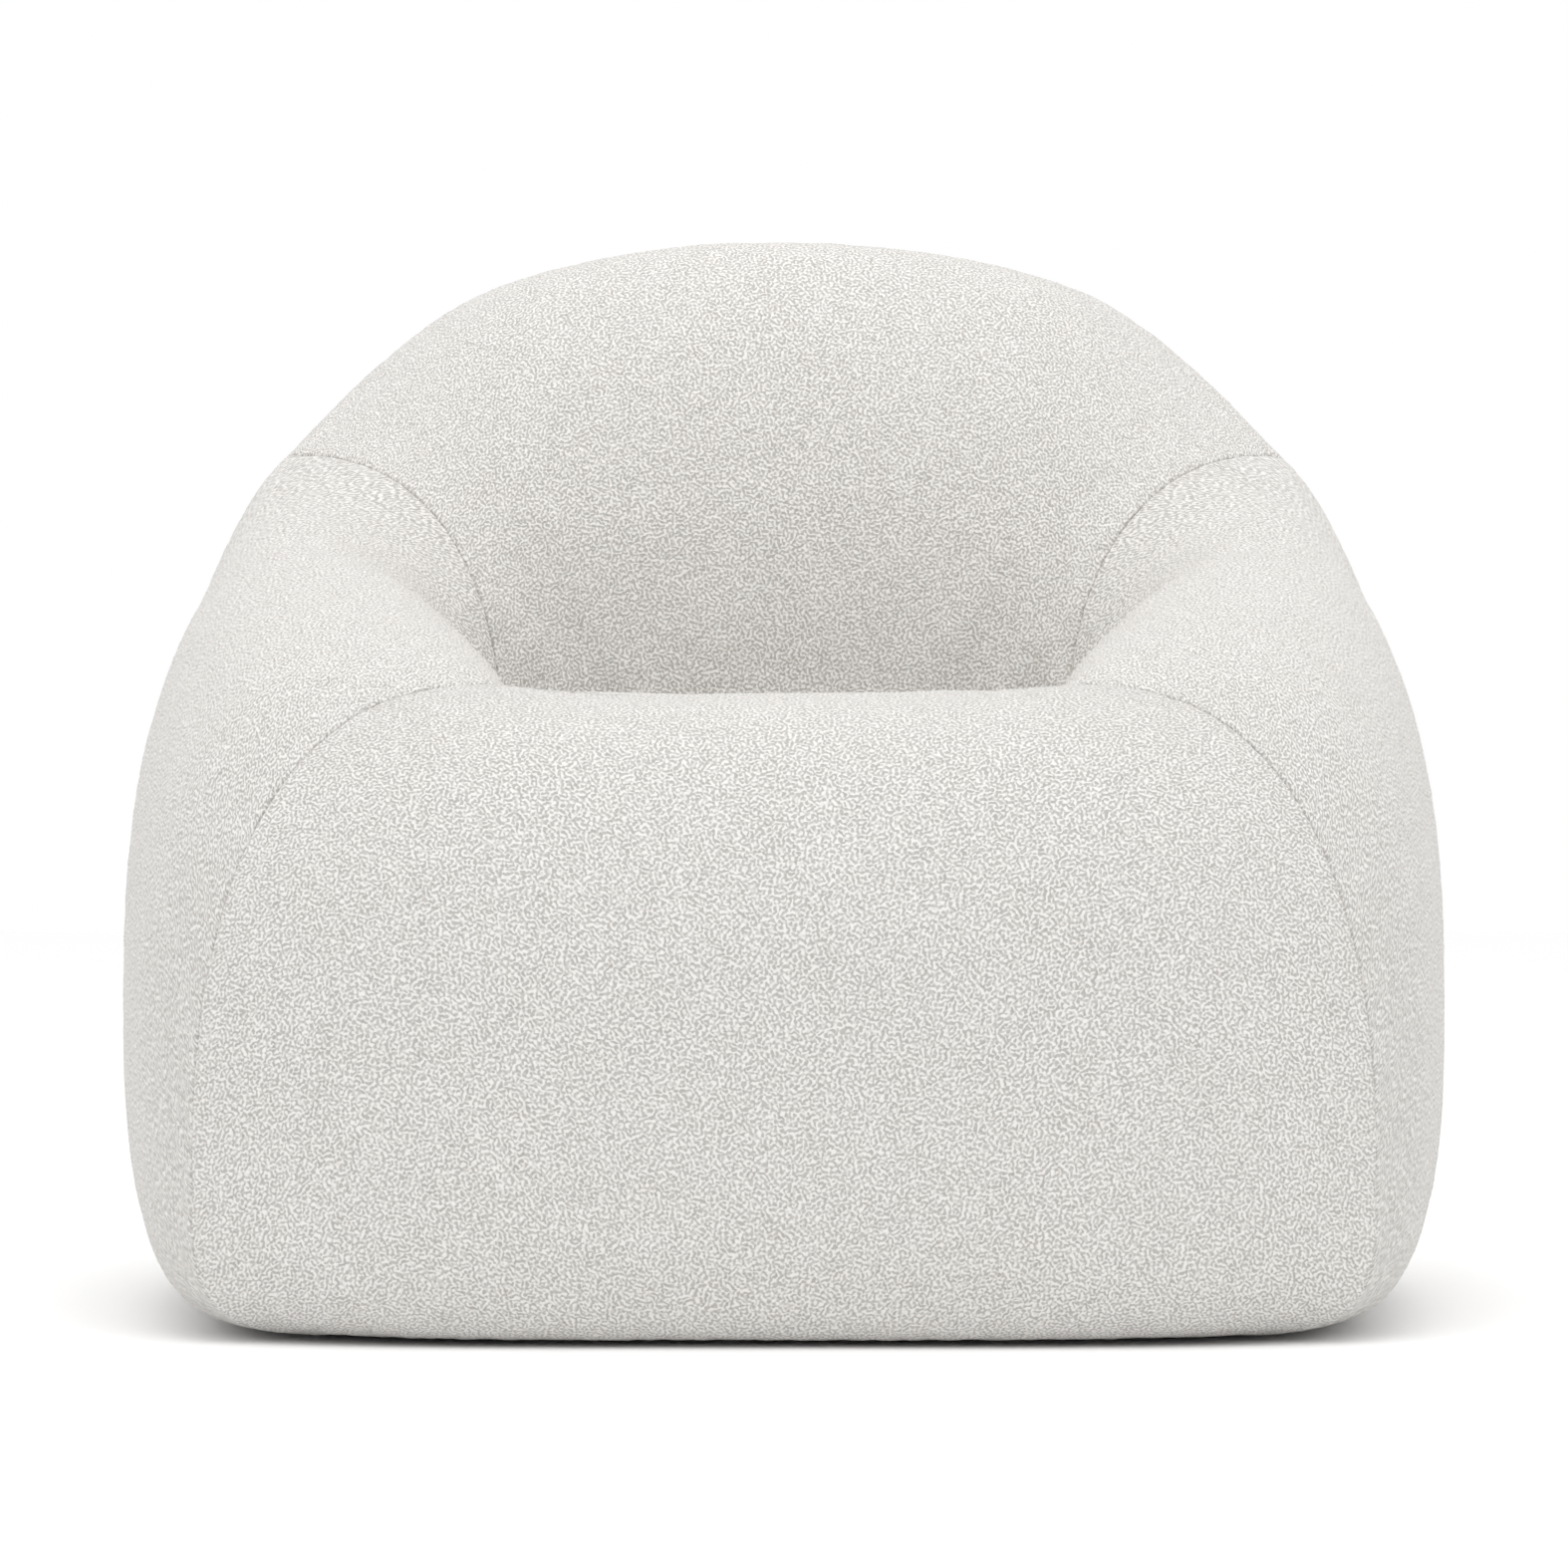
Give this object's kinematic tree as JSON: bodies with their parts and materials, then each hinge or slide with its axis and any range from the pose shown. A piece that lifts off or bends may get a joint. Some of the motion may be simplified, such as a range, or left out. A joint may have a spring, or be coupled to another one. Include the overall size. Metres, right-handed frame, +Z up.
{
  "type": "upholstered armchair",
  "caption": "Rounded tub armchair fully covered in off-white boucle, with a low wrap-round back that slopes down into the arms and a tight seat running over the front to the floor.",
  "frame": {"origin": "on the floor, in the middle of the overall width and depth", "axes": "+Z up, +X to the right as seen from in front of the chair, the chair faces -Y"},
  "size_m": [0.994, 0.9, 0.831],
  "materials": {
    "boucle": "off-white boucle, thick looped yarn, matt",
    "wadding": "white polyester wadding, matt",
    "foam": "pale yellow upholstery foam, matt",
    "hardboard": "thin bent hardboard, matt",
    "plywood": "birch plywood, sanded, unfinished",
    "beech": "solid beech, planed, unfinished",
    "spring_steel": "drawn spring wire, satin",
    "felt": "grey needled felt, matt",
    "glide": "black moulded plastic, matt",
    "dust_cloth": "black non-woven cloth, matt",
    "fastener_steel": "zinc-plated steel, satin"
  },
  "bodies": {
    "root": {"left_arm_cover": "boucle", "right_arm_cover": "boucle", "back_cover": "boucle", "left_arm_wadding": "wadding", "right_arm_wadding": "wadding", "back_wadding": "wadding", "left_arm_foam": "foam", "right_arm_foam": "foam", "back_inside_foam": "foam", "back_outside_foam": "foam", "seat_front_cover": "boucle", "seat_front_wadding": "wadding", "front_foam": "foam", "seat_foam": "foam", "back_outside_board": "hardboard", "left_arm_outside_board": "hardboard", "right_arm_outside_board": "hardboard", "back_inside_board": "hardboard", "left_arm_inside_board": "hardboard", "right_arm_inside_board": "hardboard", "front_board": "hardboard", "crest_hoop": "plywood", "left_back_rib": "plywood", "centre_back_rib": "plywood", "right_back_rib": "plywood", "left_arm_rear_rib": "plywood", "left_arm_middle_rib": "plywood", "left_arm_front_rib": "plywood", "right_arm_rear_rib": "plywood", "right_arm_middle_rib": "plywood", "right_arm_front_rib": "plywood", "left_front_rib": "plywood", "centre_front_rib": "plywood", "right_front_rib": "plywood", "base_ring": "plywood", "left_front_post": "beech", "left_rear_post": "beech", "left_seat_rail": "beech", "right_front_post": "beech", "right_rear_post": "beech", "right_seat_rail": "beech", "front_seat_rail": "beech", "rear_seat_rail": "beech", "centre_brace": "beech", "seat_spring_1": "spring_steel", "seat_spring_2": "spring_steel", "seat_spring_3": "spring_steel", "seat_spring_4": "spring_steel", "seat_spring_5": "spring_steel", "spring_clips": "spring_steel", "tie_wires": "spring_steel", "spring_pad": "felt", "left_front_glide": "glide", "left_rear_glide": "glide", "right_front_glide": "glide", "right_rear_glide": "glide", "glide_nails": "fastener_steel", "dust_cover": "dust_cloth", "dust_cover_staples": "fastener_steel", "frame_screws": "fastener_steel"}
  },
  "joints": []
}
